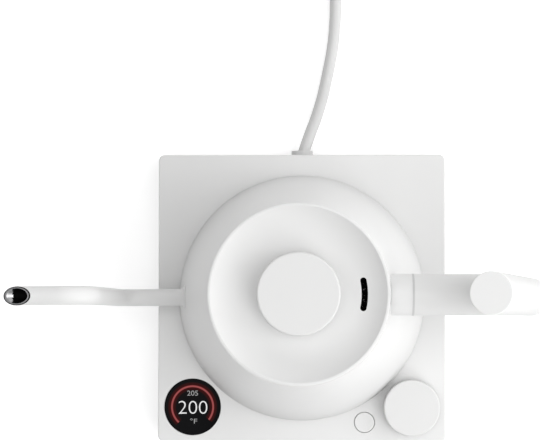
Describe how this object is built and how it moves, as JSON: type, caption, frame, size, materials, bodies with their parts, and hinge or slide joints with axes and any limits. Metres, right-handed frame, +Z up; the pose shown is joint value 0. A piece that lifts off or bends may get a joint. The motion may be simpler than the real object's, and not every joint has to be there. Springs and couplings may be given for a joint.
{
  "type": "electric gooseneck kettle",
  "caption": "Pour-over kettle with a slim curved spout and an upright handle, on a square power base with a round display, a dial, a button and a coiled mains lead.",
  "frame": {"origin": "on the table, under the kettle's axis, at the centre of the square base", "axes": "+X towards the handle, +Y towards the power cord, +Z up"},
  "size_m": [0.2977, 0.3723, 0.2027],
  "materials": {
    "kettle_paint": "satin",
    "base_white": "fine matte",
    "handle_white": "satin",
    "dial_white": "satin",
    "cord_white": "satin",
    "display_black": "gloss",
    "black_plastic": "fine texture",
    "component_dark": "matte",
    "board_green": "solder mask",
    "lead_sheath": "satin",
    "foot_rubber": "matte",
    "seal_grey": "satin",
    "tie_black": "matte",
    "contact_brass": "satin",
    "screw_steel": "zinc plated",
    "bare_steel": "brushed",
    "heat_aluminium": "cast",
    "cutout_ceramic": "bisque"
  },
  "bodies": {
    "base": {"base_cover": "base_white", "base_plate": "black_plastic", "base_feet": "foot_rubber", "base_screws": "screw_steel", "base_connector": "black_plastic", "connector_contacts": "contact_brass", "display_glass": "display_black", "display_bezel": "black_plastic", "display_panel": "component_dark", "control_board": "board_green", "power_board": "board_green", "power_components": "component_dark", "buzzer": "black_plastic", "base_leads": "lead_sheath", "dial_encoder": "screw_steel", "button_switch": "screw_steel", "cord_gland": "cord_white", "cord_clamp": "black_plastic", "clamp_screws": "screw_steel", "power_cord": "cord_white", "cord_coil": "cord_white", "cord_tail": "cord_white", "cord_tie": "tie_black", "plug_body": "cord_white", "plug_pins": "contact_brass"},
    "dial_shaft": {"dial_shaft": "screw_steel"},
    "dial_knob": {"dial_knob": "dial_white"},
    "button_cap": {"button_cap": "base_white"},
    "kettle_socket": {"kettle_connector": "black_plastic", "connector_rings": "contact_brass"},
    "kettle": {"bottom_cover": "handle_white", "bottom_screws": "screw_steel", "heating_element": "bare_steel", "heat_plate": "heat_aluminium", "dry_boil_cutouts": "cutout_ceramic", "temperature_probe": "bare_steel", "vessel_floor": "bare_steel", "kettle_shell": "kettle_paint", "neck_ring": "bare_steel", "spout": "kettle_paint", "handle_bracket": "kettle_paint", "handle_seal": "seal_grey", "handle_shell": "handle_white", "handle_bolt": "screw_steel", "handle_weight": "screw_steel", "handle_cap": "handle_white", "handle_end_plug": "handle_white"},
    "lid_seal": {"lid_gasket": "seal_grey"},
    "lid": {"lid_cover": "kettle_paint", "lid_core": "black_plastic", "lid_plug": "bare_steel", "lid_knob": "handle_white", "lid_screw": "screw_steel"}
  },
  "joints": [
    {"name": "kettle_lift", "type": "slide", "parent": "base", "child": "kettle_socket", "axis": [0, 0, 1], "range_m": [0, 0.08]},
    {"name": "kettle_swivel", "type": "hinge", "parent": "kettle_socket", "child": "kettle", "pos_m": [0, 0, 0.034], "axis": [0, 0, 1], "continuous": true},
    {"name": "lid_lift", "type": "slide", "parent": "kettle", "child": "lid_seal", "axis": [0, 0, 1], "range_m": [0, 0.06]},
    {"name": "lid_turn", "type": "hinge", "parent": "lid_seal", "child": "lid", "pos_m": [0, 0, 0.15], "axis": [0, 0, 1], "continuous": true},
    {"name": "dial_spin", "type": "hinge", "parent": "base", "child": "dial_shaft", "pos_m": [0.0651, -0.0651, 0.03], "axis": [0, 0, 1], "continuous": true},
    {"name": "dial_press", "type": "slide", "parent": "dial_shaft", "child": "dial_knob", "axis": [0, 0, -1], "range_m": [0, 0.0008], "stiffness_N_per_m": 600, "springref_m": -0.0006},
    {"name": "button_press", "type": "slide", "parent": "base", "child": "button_cap", "axis": [0, 0, -1], "range_m": [0, 0.0006], "stiffness_N_per_m": 600, "springref_m": -0.0004}
  ]
}
